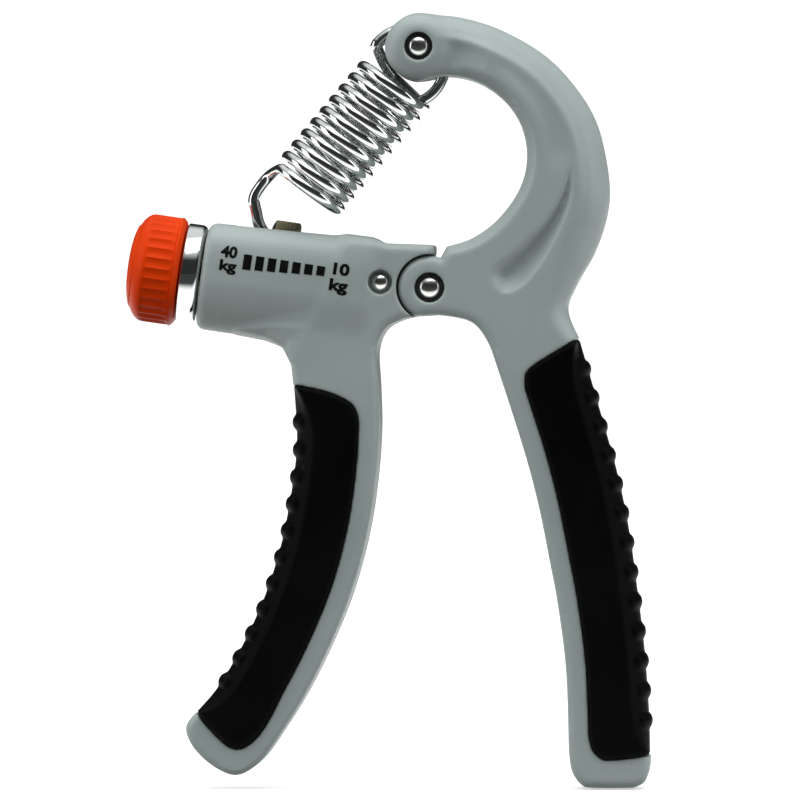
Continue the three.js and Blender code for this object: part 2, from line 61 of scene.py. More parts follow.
# ---- Driving sizes --------------------------------------------------------------------------------
PIVOT = np.array([8.0, 99.6])
HORN_PIN = np.array([5.8, 147.7])
BARREL_END = np.array([-37.6, 102.1])
BARREL_TILT = math.radians(8.3)
BARREL_ALONG = np.array([math.cos(BARREL_TILT), -math.sin(BARREL_TILT)])
BARREL_UP = np.array([math.sin(BARREL_TILT), math.cos(BARREL_TILT)])
BARREL_R = 10.7
BARREL_LEN = 34.0
BARREL_SQUARE = 3.5               # above its axis the barrel is a little squarer than round
FLARE = 0.045                     # the barrel's top rises this much for each millimetre along it
CHAMBER_R = 5.9
CHAMBER_LEN = 30.5
SLOT_FROM, SLOT_TO, SLOT_HALF = 5.7, 27.3, 3.8
LOCK_PIN = BARREL_END + 35.6 * BARREL_ALONG + 3.75 * BARREL_UP
LEVER_HALF = 9.8
EDGE_ROUND = 1.8
PAD_HALF = 10.6
PAD_T = 2.4
STRIP = 4.0
CORE_HALF = 8.2
CORE_WELD = 1                     # how far the core under a pad runs into the bare handle
CLEAR = 0.3
RIB_LONG = 3.1
LEFT_RIBS = (8.1, 5.4, 11, 0.85)    # first rib, spacing, count and height, from the outer line's start
RIGHT_RIBS = (6.6, 5.99, 13, 0.72)
TONGUE_HALF = 4.3
EAR_R, POCKET_R = 6.3, 6.65
COLLAR_LEN, COLLAR_R = 4.2, 10.0
KNOB_R, KNOB_LEN, KNOB_RIBS = 10.8, 10.4, 32
KNOB_BACK = -COLLAR_LEN - CLEAR
KNOB_FRONT = KNOB_BACK - KNOB_LEN
WIRE_R = 1.2
COIL_R = 7.3
HUB_X, HUB_HALF = 15.2, 2.9
EYE_H, EYE_FLAT, EYE_HALF, EYE_R = 8.2, 4.33, 3.3, 2.6
COIL_PITCH = 2.93
COIL_FOOT = np.array([-16.6, 119.4])
COIL_HEAD = np.array([0.36, 139.6])
LOOP_R, HOOK_R = 7.5, 7.3
HOOK_CENTRE = np.array([-19.675, 115.17])
LOOP_CENTRE = np.array([3.208, 143.84])
FINE = 0.42  # cell of the grids that the mouldings are cast on
FINER = 0.24  # the same for the small nut


# ---- Camera and lights ----------------------------------------------------------------------------
def look_from_the_front():
    away, turn = 2.0, math.radians(2.2)
    lens = bpy.data.cameras.new("front_camera")
    lens.sensor_width = 36
    lens.lens = 36 * away / 0.160
    camera = bpy.data.objects.new("front_camera", lens)
    camera.location = (0.0018 + away * math.sin(turn), -away * math.cos(turn), 0.0772)
    camera.rotation_euler = (math.radians(90), 0, turn)
    bpy.context.scene.collection.objects.link(camera)
    bpy.context.scene.camera = camera


def softbox(name, place, aim, size, power):
    light = bpy.data.lights.new(name, "AREA")
    light.shape = "RECTANGLE"
    light.size, light.size_y = size
    light.energy = power
    box = bpy.data.objects.new(name, light)
    box.location = place
    box.rotation_euler = (Vector(aim) - Vector(place)).to_track_quat("-Z", "Y").to_euler()
    bpy.context.scene.collection.objects.link(box)


look_from_the_front()
middle = (0, 0, 0.08)
softbox("overhead_softbox", (0.05, -0.16, 0.62), middle, (0.60, 0.40), 1.5)
softbox("left_softbox", (-0.66, -0.14, 0.26), middle, (0.30, 0.50), 1.2)
softbox("right_softbox", (0.66, -0.12, 0.22), middle, (0.22, 0.50), 0.9)


# ---- Shader sums ----------------------------------------------------------------------------------
class Signal:
    """A number that changes over a surface. Sums on it become Math nodes."""

    def __init__(self, recipe, socket):
        self.recipe = recipe
        self.socket = socket

    def sum(self, operation, first, second, clamp=False):
        settings = {"operation": operation, "use_clamp": clamp}
        return self.recipe.node("ShaderNodeMath", settings, {0: first, 1: second})

    def __add__(self, other):
        return self.sum("ADD", self, other)

    def __sub__(self, other):
        return self.sum("SUBTRACT", self, other)

    def __rsub__(self, other):
        return self.sum("SUBTRACT", other, self)

    def __mul__(self, other):
        return self.sum("MULTIPLY", self, other)

    __radd__ = __add__
    __rmul__ = __mul__


class Recipe:
    """One material and its nodes."""

    def __init__(self, name, **constants):
        self.material = bpy.data.materials.new(name)
        self.material.use_nodes = True
        self.tree = self.material.node_tree
        self.tree.nodes.clear()
        self.surface = self.tree.nodes.new("ShaderNodeBsdfPrincipled")
        output = self.tree.nodes.new("ShaderNodeOutputMaterial")
        self.tree.links.new(self.surface.outputs[0], output.inputs[0])
        self.place = self.node("ShaderNodeTexCoord", {}, {}, "Object")
        for socket, value in constants.items():
            self.feed(self.surface, socket.replace("_", " "), value)

    def feed(self, node, socket, value):
        if isinstance(value, Signal):
            self.tree.links.new(value.socket, node.inputs[socket])
        else:
            node.inputs[socket].default_value = value

    def node(self, kind, settings, sockets, output=0):
        made = self.tree.nodes.new(kind)
        for setting, value in settings.items():
            if setting == "stops":
                for stop, (spot, shade) in zip(made.color_ramp.elements, value):
                    stop.position = spot
                    stop.color = shade
            else:
                setattr(made, setting, value)
        for socket, value in sockets.items():
            self.feed(made, socket, value)
        return Signal(self, made.outputs[output])

    def noise(self, scale, detail=3.0, roughness=0.55, place=None):
        sockets = {
            "Vector": place or self.place, "Scale": scale, "Detail": detail, "Roughness": roughness,
        }
        return self.node("ShaderNodeTexNoise", {}, sockets)

    def stretched(self, across):
        """The object's place, drawn out along one direction, for brushed and turned marks."""
        return self.node("ShaderNodeVectorMath", {"operation": "MULTIPLY"}, {0: self.place, 1: across})

    def band(self, value, low, high):
        """0 below low, 1 above high."""
        sockets = {"Value": value, "From Min": low, "From Max": high}
        return self.node("ShaderNodeMapRange", {"interpolation_type": "SMOOTHSTEP"}, sockets)

    def blend(self, share, first, second):
        settings = {"data_type": "RGBA"}
        return self.node("ShaderNodeMix", settings, {0: share, 6: first, 7: second}, 2)

    def edges(self, low=0.5, high=0.6):
        """1 along the outer edges, where the materials lighten their colour as a painted edge highlight."""
        raised = self.node("ShaderNodeNewGeometry", {}, {}, "Pointiness")
        return self.band(raised, low, high)

    def bump(self, height, strength, distance, under=None):
        sockets = {"Height": height, "Strength": strength, "Distance": distance}
        if under:
            sockets["Normal"] = under
        return self.node("ShaderNodeBump", {}, sockets)

    def set(self, **values):
        for socket, value in values.items():
            self.feed(self.surface, socket.replace("_", " "), value)
        return self.material


def tone(red, green, blue):
    return (red, green, blue, 1.0)


def lever_plastic():
    """Cool grey glass-filled nylon: satin, faintly mottled, with a painted highlight that lightens the
    edges.
    """
    mix = Recipe("lever_plastic", IOR=1.46)
    cloud = mix.noise(28.0, 4.0)
    speckle = mix.noise(900.0, 2.0)
    base = mix.blend(mix.band(cloud, 0.3, 0.7), tone(0.300, 0.350, 0.343), tone(0.340, 0.390, 0.382))
    flecked = mix.blend(mix.band(speckle, 0.62, 0.78) * 0.35, base, tone(0.25, 0.29, 0.285))
    # Edges are blended towards a paler grey: a painted edge highlight.
    colour = mix.blend(mix.edges() * 0.28, flecked, tone(0.46, 0.51, 0.50))
    scuffs = mix.noise(1.0, 3.0, 0.6, mix.stretched((160.0, 160.0, 900.0)))
    rough = 0.40 + mix.band(scuffs, 0.45, 0.75) * 0.10 + mix.noise(240.0) * 0.06
    grain = mix.bump(mix.noise(2400.0, 2.0), 0.10, 0.00004)
    return mix.set(Base_Color=colour, Roughness=rough, Normal=grain)


def soft_rubber():
    """Near-black moulded rubber with a fine matt grain, and a painted olive sheen on its ridges and rounded
    edges.
    """
    mix = Recipe("soft_rubber", IOR=1.5, Specular_IOR_Level=0.035)
    cloud = mix.noise(45.0, 4.0)
    base = mix.blend(mix.band(cloud, 0.35, 0.7), tone(0.0009, 0.0009, 0.0009), tone(0.0022, 0.0024, 0.0023))
    # Ridges and rounded edges are tinted a dark olive: a painted sheen.
    colour = mix.blend(mix.edges(0.51, 0.62) * 0.6, base, tone(0.012, 0.015, 0.013))
    rough = 0.42 + mix.noise(300.0) * 0.14 + mix.band(cloud, 0.4, 0.8) * 0.08
    grain = mix.bump(mix.noise(3200.0, 2.0), 0.35, 0.00005)
    return mix.set(Base_Color=colour, Roughness=rough, Normal=grain)


def orange_plastic():
    """Saturated orange moulding, half gloss, with painted highlights on the ribs and edges."""
    mix = Recipe("orange_plastic", IOR=1.5, Specular_IOR_Level=0.05)
    cloud = mix.noise(60.0, 3.0)
    base = mix.blend(mix.band(cloud, 0.3, 0.7), tone(0.62, 0.036, 0.0006), tone(0.72, 0.046, 0.001))
    # Ribs and edges are blended towards a paler orange: a painted highlight.
    colour = mix.blend(mix.edges(0.52, 0.62) * 0.20, base, tone(0.86, 0.15, 0.01))
    rough = 0.30 + mix.noise(500.0) * 0.10
    grain = mix.bump(mix.noise(1800.0, 2.0), 0.08, 0.00003)
    return mix.set(Base_Color=colour, Roughness=rough, Normal=grain)


def plated_chrome(name, brightness=0.80):
    """Bright plating over drawn wire, with faint draw marks and pin-prick pits."""
    mix = Recipe(name, Metallic=1.0)
    clear = tone(brightness, brightness * 1.01, brightness * 1.01)
    pits = mix.band(mix.noise(1500.0, 2.0), 0.70, 0.80)
    cloud = mix.band(mix.noise(120.0, 3.0), 0.5, 0.8)
    colour = mix.blend(pits * 0.5 + cloud * 0.1, clear, tone(0.30, 0.29, 0.27))
    rough = 0.06 + cloud * 0.07 + pits * 0.2
    marks = mix.bump(mix.noise(170.0, 2.0), 0.05, 0.00005)
    return mix.set(Base_Color=colour, Roughness=rough, Normal=marks)


def turned_steel(name, light, dark, rough_base):
    """Steel with fine turning marks and darker oil in the low spots."""
    mix = Recipe(name, Metallic=1.0)
    oil = mix.band(mix.noise(260.0, 4.0), 0.45, 0.75)
    colour = mix.blend(oil, light, dark)
    marks = mix.noise(1.0, 2.0, 0.5, mix.stretched((2600.0, 90.0, 2600.0)))
    rough = rough_base + oil * 0.15 + marks * 0.08
    return mix.set(Base_Color=colour, Roughness=rough, Normal=mix.bump(marks, 0.12, 0.00003))


def black_nylon():
    mix = Recipe("black_nylon", IOR=1.5)
    cloud = mix.noise(200.0, 3.0)
    colour = mix.blend(cloud, tone(0.012, 0.012, 0.012), tone(0.03, 0.03, 0.03))
    grain = mix.bump(mix.noise(2000.0), 0.2, 0.00004)
    return mix.set(Base_Color=colour, Roughness=0.45 + cloud * 0.2, Normal=grain)


def printing_ink():
    """Pad-printed black, slightly thin in places."""
    mix = Recipe("printing_ink", IOR=1.5, Specular_IOR_Level=0.25)
    thin = mix.band(mix.noise(700.0, 3.0), 0.62, 0.80)
    colour = mix.blend(thin * 0.5, tone(0.0015, 0.0015, 0.0015), tone(0.008, 0.008, 0.008))
    grain = mix.bump(mix.noise(2600.0), 0.12, 0.00003)
    return mix.set(Base_Color=colour, Roughness=0.38 + thin * 0.3, Normal=grain)


def pale_floor():
    mix = Recipe("pale_floor", Emission_Strength=0.5)
    cloud = mix.noise(3.0)
    pale = mix.blend(cloud, tone(0.88, 0.88, 0.88), tone(0.92, 0.92, 0.92))
    front = mix.node("ShaderNodeSeparateXYZ", {}, {0: mix.place}, 1) * -1.0
    mirrored = mix.node("ShaderNodeLightPath", {}, {}, 3) * mix.band(front, 0.10, 0.26)
    colour = mix.blend(mirrored, pale, tone(0.02, 0.02, 0.02))
    return mix.set(Base_Color=colour, Roughness=0.7 + cloud * 0.1, Emission_Color=colour)


MATERIALS = {
    "lever_plastic": lever_plastic(),
    "rubber": soft_rubber(),
    "orange_plastic": orange_plastic(),
    "chrome": plated_chrome("plated_chrome", 0.66),
    "steel": turned_steel("polished_steel", tone(0.62, 0.62, 0.60), tone(0.32, 0.31, 0.29), 0.12),
    "dark_steel": turned_steel("oiled_steel", tone(0.10, 0.105, 0.10), tone(0.04, 0.042, 0.04), 0.30),
    "bronze": turned_steel("dark_bronze", tone(0.15, 0.135, 0.07), tone(0.055, 0.05, 0.028), 0.22),
    "nylon": black_nylon(),
    "ink": printing_ink(),
}


# ---- Lines in X and Z -----------------------------------------------------------------------------
def smooth(points, steps):
    """A smooth open line through a few points."""
    knots = np.array(points, float)
    last = len(knots) - 1
    line = []
    for share in np.linspace(0, last, steps + 1):
        i = min(int(share), last - 1)
        t = share - i
        before, start, end, after = knots[max(i - 1, 0)], knots[i], knots[i + 1], knots[min(i + 2, last)]
        slope_in, slope_out = (end - before) / 2, (after - start) / 2
        line.append(
            (2 * t**3 - 3 * t**2 + 1) * start + (t**3 - 2 * t**2 + t) * slope_in
            + (3 * t**2 - 2 * t**3) * end + (t**3 - t**2) * slope_out
        )
    return np.array(line)


def arc(centre, radius, start, stop, steps):
    angles = np.radians(np.linspace(start, stop, steps + 1))
    return np.array(centre) + radius * np.stack([np.cos(angles), np.sin(angles)], axis=1)


def shifted(line, distance):
    """The line moved to its left as it goes from its first point to its last."""
    along = np.gradient(line, axis=0)
    along /= np.linalg.norm(along, axis=1)[:, None]
    return line + distance * np.stack([-along[:, 1], along[:, 0]], axis=1)


def on_barrel(along, height):
    return BARREL_END + along * BARREL_ALONG + height * BARREL_UP


LEFT_INNER = smooth([
    (6.0, 94.0), (2.4, 93.2), (-0.9, 91.2), (-2.5, 87.0), (-2.2, 80.0), (-2.0, 72.0), (-2.6, 62.6),
    (-4.1, 52.1), (-6.7, 41.6), (-10.2, 32.0), (-15.8, 20.2), (-21.7, 10.6), (-26.0, 4.9),
    (-30.5, 2.4), (-35.2, 4.2), (-39.2, 8.0), (-40.6, 12.0), (-38.4, 15.2),
], 88)
LEFT_OUTER = smooth([
    (-38.4, 15.2), (-34.2, 20.2), (-29.2, 28.8), (-24.9, 38.4), (-22.0, 47.5), (-20.5, 54.3),
    (-19.0, 63.8), (-18.6, 70.5), (-19.2, 80.2),
], 48)
LEFT_NECK = np.array([(-19.6, 84.2), (-21.4, 87.6), (-25.0, 89.8)])
BLOCK_TOP = np.array([(-8.6, 109.7), (-4.0, 108.95), (0.0, 108.4), (8.9, 108.1), (8.9, 105.7)])
RIGHT_INNER = smooth([
    (9.4, 94.2), (13.0, 93.7), (16.8, 92.4), (19.6, 88.7), (21.8, 82.7), (26.6, 67.8), (29.6, 56.6),
    (31.9, 45.2), (33.6, 36.0), (35.2, 23.0), (35.7, 7.5),
], 60)
RIGHT_FOOT = smooth([(35.7, 7.5), (36.3, 3.4), (38.2, 0.6), (40.6, 0.0), (48.6, 0.0)], 16)
RIGHT_TOE = smooth([(48.6, 0.0), (50.9, 1.2), (51.9, 4.2), (51.8, 6.6)], 10)
RIGHT_OUTER = smooth([
    (51.8, 6.6), (51.5, 16.2), (50.6, 28.0), (49.2, 39.6), (47.6, 51.0), (45.3, 62.3), (42.0, 74.2),
    (37.6, 89.4),
], 48)
HORN_OUTER = smooth([
    (37.6, 89.4), (35.4, 95.2), (37.3, 100.4), (41.0, 107.0), (43.4, 114.5), (43.6, 121.7),
    (41.4, 132.0), (37.0, 139.6), (30.6, 146.2), (21.6, 151.3), (13.5, 153.7), (7.2, 154.1),
], 72)
HORN_INNER = smooth([
    (6.6, 141.6), (12.6, 141.8), (18.2, 140.2), (23.0, 136.6), (26.3, 131.6), (27.4, 125.4),
    (25.9, 119.2), (21.6, 113.2), (16.4, 109.4), (11.4, 107.8),
], 52)
SCOOP = smooth([
    (36.2, 124.6), (36.4, 118.6), (34.6, 112.4), (31.0, 105.4), (29.0, 102.6), (26.9, 100.2),
    (23.3, 98.4), (20.7, 99.8), (19.8, 102.0), (20.9, 104.2), (24.0, 106.6), (27.6, 109.6),
    (31.0, 112.9), (34.2, 118.2), (36.2, 124.6),
], 84)[:-1]
LEFT_OUTLINE = np.vstack([
    [PIVOT], LEFT_INNER, LEFT_OUTER[1:], LEFT_NECK,
    [on_barrel(9, 1 - BARREL_R), on_barrel(20, -2), on_barrel(26, BARREL_R - 0.2)], BLOCK_TOP,
])
RIGHT_OUTLINE = np.vstack([
    HORN_INNER, [(10.2, 105.4)], arc(PIVOT, EAR_R, 68, 244, 50), RIGHT_INNER, RIGHT_FOOT[1:], RIGHT_TOE[1:],
    RIGHT_OUTER[1:], HORN_OUTER[1:], arc(HORN_PIN, 6.4, 92, 264, 40),
])
LEFT_PAD_TOP = smooth([
    (-19.2, 80.2), (-13.0, 78.9), (-9.6, 77.6), (-7.4, 76.2), (-6.4, 74.2), (-6.15, 72.6),
], 16)
LEFT_PAD_FOOT = smooth([
    (-22.0, 17.4), (-23.9, 13.6), (-26.4, 10.0), (-29.4, 7.8), (-32.3, 8.4), (-36.4, 12.4), (-38.4, 15.2),
], 20)
RIGHT_PAD_TOP = smooth([(37.6, 89.4), (32.6, 86.4), (28.8, 84.0), (27.2, 82.2), (27.2, 79.4)], 14)
RIGHT_PAD_FOOT = smooth([(39.8, 10.5), (40.5, 7.6), (42.1, 6.0), (43.4, 5.6), (47.6, 5.9), (51.8, 6.6)], 16)


# ---- Distances: below zero inside -----------------------------------------------------------------
def line_distance(x, z, line):
    """Distance to an open line, and how far along the line the nearest point is."""
    best = np.full(np.broadcast(x, z).shape, 1e9)
    travel = np.zeros(best.shape)
    passed = 0.0
    for (ax, az), (bx, bz) in zip(line[:-1], line[1:]):
        dx, dz = bx - ax, bz - az
        length = math.hypot(dx, dz)
        share = np.clip(((x - ax) * dx + (z - az) * dz) / length**2, 0, 1)
        away = (x - ax - share * dx) ** 2 + (z - az - share * dz) ** 2
        travel = np.where(away < best, passed + share * length, travel)
        best = np.minimum(best, away)
        passed += length
    return np.sqrt(best), travel


def outline_distance(x, z, outline):
    """Signed distance to a closed outline."""
    closed = np.vstack([outline, outline[:1]])
    keep = np.linalg.norm(np.diff(closed, axis=0), axis=1) > 1e-4
    closed = closed[np.append(keep, True)]
    best, _ = line_distance(x, z, closed)
    inside = np.zeros(best.shape, bool)
    for (ax, az), (bx, bz) in zip(closed[:-1], closed[1:]):
        if az != bz:
            inside ^= ((az > z) != (bz > z)) & (x < (bx - ax) * (z - az) / (bz - az) + ax)
    return np.where(inside, -best, best)


def both(first, second, radius):
    """What two shapes share, with the edge between them rounded to a radius."""
    corner = np.sqrt(np.maximum(first + radius, 0) ** 2 + np.maximum(second + radius, 0) ** 2)
    return np.minimum(-radius, np.maximum(first, second)) + corner


def either(first, second, radius):
    """Two shapes joined, with a fillet of a radius between them."""
    return -both(-first, -second, radius)


def without(body, tool, radius=0.3):
    return both(body, -tool, radius)


def ease(value, low, high):
    share = np.clip((value - low) / (high - low), 0, 1)
    return share * share * (3 - 2 * share)


def ring_distance(x, z, centre, radius):
    return np.hypot(x - centre[0], z - centre[1]) - radius


def recess(x, y, z, centre, radius, deep):
    return np.maximum(ring_distance(x, z, centre, radius), LEVER_HALF - deep - np.abs(y))


# ---- The left lever -------------------------------------------------------------------------------
def barrel_place(x, z):
    """How far along the barrel's axis and how far above it."""
    along = (x - BARREL_END[0]) * BARREL_ALONG[0] + (z - BARREL_END[1]) * BARREL_ALONG[1]
    height = (x - BARREL_END[0]) * BARREL_UP[0] + (z - BARREL_END[1]) * BARREL_UP[1]
    return along, height


def left_body(x, y, z):
    flat = outline_distance(x, z, LEFT_OUTLINE)
    deep = np.abs(y)
    inner, _ = line_distance(x, z, LEFT_INNER[16:72])
    ridge = 0.22 * ease(inner, 0.5, 0.8) * (1 - ease(inner, 1.0, 1.3))
    along, height = barrel_place(x, z)
    soft = 5.5 * ease(height, -15, -6) * (1 - ease(along, 22, 30))
    plate = both(flat, deep - LEVER_HALF - ridge, EDGE_ROUND + soft)
    radial = np.sqrt(y**2 + height**2)
    squarish = (deep**BARREL_SQUARE + np.abs(height) ** BARREL_SQUARE) ** (1 / BARREL_SQUARE)
    risen = FLARE * np.clip(along, 0, BARREL_LEN) * np.clip(height / BARREL_R, 0, 1) ** 2
    skin = np.where(height > 0, squarish - risen, radial) - BARREL_R
    barrel = both(skin, np.abs(along - BARREL_LEN / 2) - BARREL_LEN / 2, 1.7)
    body = either(plate, barrel, 2.0)
    chamber = np.maximum(radial - CHAMBER_R, along - CHAMBER_LEN)
    slot_middle, slot_reach = (SLOT_FROM + SLOT_TO) / 2, (SLOT_TO - SLOT_FROM) / 2
    slot = np.maximum(np.maximum(deep - SLOT_HALF, np.abs(along - slot_middle) - slot_reach), -height)
    body = without(without(body, chamber), slot, 0.5)
    pocket = np.maximum(ring_distance(x, z, PIVOT, POCKET_R), TONGUE_HALF - deep)
    body = without(body, pocket, 0.2)
    tongue = np.maximum(ring_distance(x, z, PIVOT, 5.4), deep - TONGUE_HALF)
    body = np.minimum(body, tongue)
    body = without(body, recess(x, y, z, LOCK_PIN, 2.4, 1.6), 0.2)
    bush_hole = ring_distance(x, z, PIVOT, 3.05)
    return np.maximum(body, -bush_hole)


def pad_outline(inner, top, outer, foot):
    """The rubber's outline: down the bare strip, round the foot, up the back and over the top."""
    return np.vstack([inner, foot, outer[1:-1], top])


LEFT_STRIP = shifted(LEFT_INNER[26:54], -STRIP - 0.15)
LEFT_PAD = pad_outline(LEFT_STRIP, LEFT_PAD_TOP, LEFT_OUTER, LEFT_PAD_FOOT)
RIGHT_STRIP = shifted(RIGHT_INNER[30:58], STRIP + 0.15)
RIGHT_PAD = pad_outline(RIGHT_STRIP, RIGHT_PAD_TOP, RIGHT_OUTER, RIGHT_PAD_FOOT)


def core(x, y, z, outline):
    """The part of a handle that the rubber wraps."""
    return both(outline_distance(x, z, outline) + PAD_T + CLEAR, np.abs(y) - CORE_HALF, 0.8)


def left_lever(x, y, z):
    body = left_body(x, y, z)
    room = outline_distance(x, z, widened(LEFT_PAD, LEFT_OUTER)) - 0.15
    return np.minimum(without(body, room, 0.25), np.maximum(core(x, y, z, LEFT_OUTLINE), room - CORE_WELD))


def widened(pad, outer):
    """The pad's outline with its back pushed out, so that it cuts the handle's skin away."""
    out = []
    for point in pad:
        near = np.linalg.norm(outer - point, axis=1)
        i = int(near.argmin())
        if near[i] < 0.05:
            along = outer[min(i + 1, len(outer) - 1)] - outer[max(i - 1, 0)]
            along /= np.linalg.norm(along)
            side = -1 if outer[0][0] < 0 else 1
            point = point + 4 * side * np.array([along[1], -along[0]])
        out.append(point)
    return np.array(out)


def grip_pad(x, y, z, pad, outer, ends, outline, ribs):
    flat = outline_distance(x, z, pad)
    back, travel = line_distance(x, z, outer)
    front = line_distance(x, z, ends)[0]
    round_back = 0.9 + 5.0 * ease(front / (front + back + 1e-6), 0.40, 0.85)
    skin = both(flat, np.abs(y) - PAD_HALF, round_back)
    first, pitch, count, high = ribs
    nearest = np.clip(np.round((travel - first) / pitch), 0, count - 1)
    off = np.abs(travel - first - nearest * pitch)
    rib = high * np.clip(1 - (off / (RIB_LONG / 2)) ** 2, 0, 1) ** 0.8
    reach = (1 - ease(back, 0.6, 2.2)) * ease(front, 0.6, 2.2)
    skin = skin - rib * reach
    return without(skin, core(x, y, z, outline) - CLEAR, 0.3)


def left_grip_pad(x, y, z):
    ends = np.vstack([LEFT_PAD_TOP, LEFT_STRIP, LEFT_PAD_FOOT])
    return grip_pad(x, y, z, LEFT_PAD, LEFT_OUTER, ends, LEFT_OUTLINE, LEFT_RIBS)


def right_grip_pad(x, y, z):
    ends = np.vstack([RIGHT_PAD_TOP, RIGHT_STRIP, RIGHT_PAD_FOOT])
    return grip_pad(x, y, z, RIGHT_PAD, RIGHT_OUTER, ends, RIGHT_OUTLINE, RIGHT_RIBS)


# ---- The right lever ------------------------------------------------------------------------------
def right_body(x, y, z):
    flat = outline_distance(x, z, RIGHT_OUTLINE)
    deep = np.abs(y)
    out = line_distance(x, z, HORN_OUTER)[0]
    inn = line_distance(x, z, HORN_INNER)[0]
    from_head = ring_distance(x, z, HORN_PIN, 0)
    in_horn = ease(z, 98, 112)
    share = ease(inn / (inn + out + 1e-6), 0.25, 0.75)
    back_share = ease(z, 84, 96) * ease(x, 24, 34)
    edge = EDGE_ROUND + (3.0 * back_share * (1 - in_horn) + 6.4 * in_horn * share) * (share + 0.001)
    neck = 1.7 * (1 - ease(from_head, 7.0, 15.0)) * ease(out, 2.0, 7.0)
    band = 1.1 * (1 - ease(inn, 0.4, 2.3)) * ease(from_head, 8, 12) * ease(z, 104, 109)
    valley = 0.45 * ease(inn, 3.0, 5.5) * (1 - ease(inn, 6.5, 10.0))
    valley = valley * ease(z, 122, 128) * ease(from_head, 14, 20)
    side = (x - 25.0) * 0.876 - (z - 103.0) * 0.483
    right_share = ease(side, -2.5, 2.5)
    wall = 4.0 - 0.6 * right_share
    reach = np.clip(np.clip(-outline_distance(x, z, SCOOP), 0, None) / wall, 0, 1)
    scoop = 2.4 * (ease(reach, 0, 1) * (1 - right_share) + (1 - (1 - reach) ** 2) * right_share)
    half = LEVER_HALF - neck - band - valley - scoop
    plate = both(flat, deep - half, np.minimum(edge, half - 0.3))
    head = both(ring_distance(x, z, HORN_PIN, 6.4), deep - LEVER_HALF, 3.5)
    body = either(plate, head, 1.5)
    tongue_room = np.maximum(ring_distance(x, z, PIVOT, 6.35), deep - (LEVER_HALF - 4.8))
    body = without(body, tongue_room)
    loop_slot = np.maximum(ring_distance(x, z, LOOP_CENTRE, 10.1), deep - 2.0)
    body = without(body, loop_slot, 0.35)
    body = without(body, recess(x, y, z, PIVOT, 3.0, 1.6), 0.25)
    body = without(body, recess(x, y, z, HORN_PIN, 2.8, 1.6), 0.25)
    shank = np.minimum(ring_distance(x, z, PIVOT, 1.85), ring_distance(x, z, HORN_PIN, 1.65))
    return np.maximum(body, -shank)


def right_lever(x, y, z):
    body = right_body(x, y, z)
    room = outline_distance(x, z, widened(RIGHT_PAD, RIGHT_OUTER)) - 0.15
    return np.minimum(without(body, room, 0.25), np.maximum(core(x, y, z, RIGHT_OUTLINE), room - CORE_WELD))


# ---- From a distance to a mesh --------------------------------------------------------------------
def cast(shape, low, high, cell):
    """Points and four-sided faces of the surface where a distance is zero."""
    axes = [np.arange(a - 2 * cell, b + 3 * cell, cell) for a, b in zip(low, high)]
    x, y, z = axes[0][:, None, None], axes[1][None, :, None], axes[2][None, None, :]
    field = np.ascontiguousarray(np.broadcast_to(shape(x, y, z), [len(a) for a in axes]))
    inside = field < 0
    cells = tuple(n - 1 for n in field.shape)
    total = np.zeros(cells + (3,))
    count = np.zeros(cells)
    crossings = []
    for axis in range(3):
        near = [slice(None)] * 3
        far = [slice(None)] * 3
        near[axis], far[axis] = slice(0, -1), slice(1, None)
        a, b = field[tuple(near)], field[tuple(far)]
        crossed = inside[tuple(near)] != inside[tuple(far)]
        i = np.array(np.nonzero(crossed))
        share = (a[crossed] / (a[crossed] - b[crossed]))
        spot = i.T.astype(float)
        spot[:, axis] += share
        others = [k for k in range(3) if k != axis]
        around = []
        for first in (-1, 0):
            for second in (-1, 0):
                cell_of = i.copy()
                cell_of[others[0]] += first
                cell_of[others[1]] += second
                flat = np.ravel_multi_index(cell_of, cells, mode="clip")
                np.add.at(total.reshape(-1, 3), flat, spot)
                np.add.at(count.reshape(-1), flat, 1)
                around.append(flat)
        outward = inside[tuple(near)][crossed]
        crossings.append((axis, around, outward))
    used = np.nonzero(count.reshape(-1))[0]
    number = np.full(count.size, -1)
    number[used] = np.arange(len(used))
    points = total.reshape(-1, 3)[used] / count.reshape(-1)[used][:, None]
    points = np.array([a[0] for a in axes]) + points * cell
    faces = []
    for axis, around, outward in crossings:
        loop = [around[0], around[2], around[3], around[1]]
        quad = number[np.stack(loop, axis=1)]
        flip = outward if axis != 1 else ~outward
        faces.append(np.where(flip[:, None], quad, quad[:, ::-1]))
    return points, np.vstack(faces)


def mesh_object(name, points, faces, material):
    mesh = bpy.data.meshes.new(name)
    mesh.from_pydata((np.asarray(points) * MM).tolist(), [], [list(map(int, f)) for f in faces])
    mesh.materials.append(material)
    mesh.shade_smooth()
    mesh.update()
    made = bpy.data.objects.new(name, mesh)
    bpy.context.scene.collection.objects.link(made)
    return made


def moulding(name, shape, node, body, slot, cell=FINE):
    low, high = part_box(node)
    margin = 1.5
    points, faces = cast(shape, np.array(low) / MM - margin, np.array(high) / MM + margin, cell)
    piece = mesh_object(name, points, faces, MATERIALS[slot])
    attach(piece, body)
    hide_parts(node)
    return piece


moulding("left_lever_moulding", left_lever, "left_lever", "left_lever", "lever_plastic")
moulding("right_lever_moulding", right_lever, "right_lever", "right_lever", "lever_plastic")
moulding("left_rubber_grip", left_grip_pad, "left_grip_pad", "left_lever", "rubber")
moulding("right_rubber_grip", right_grip_pad, "right_grip_pad", "right_lever", "rubber")


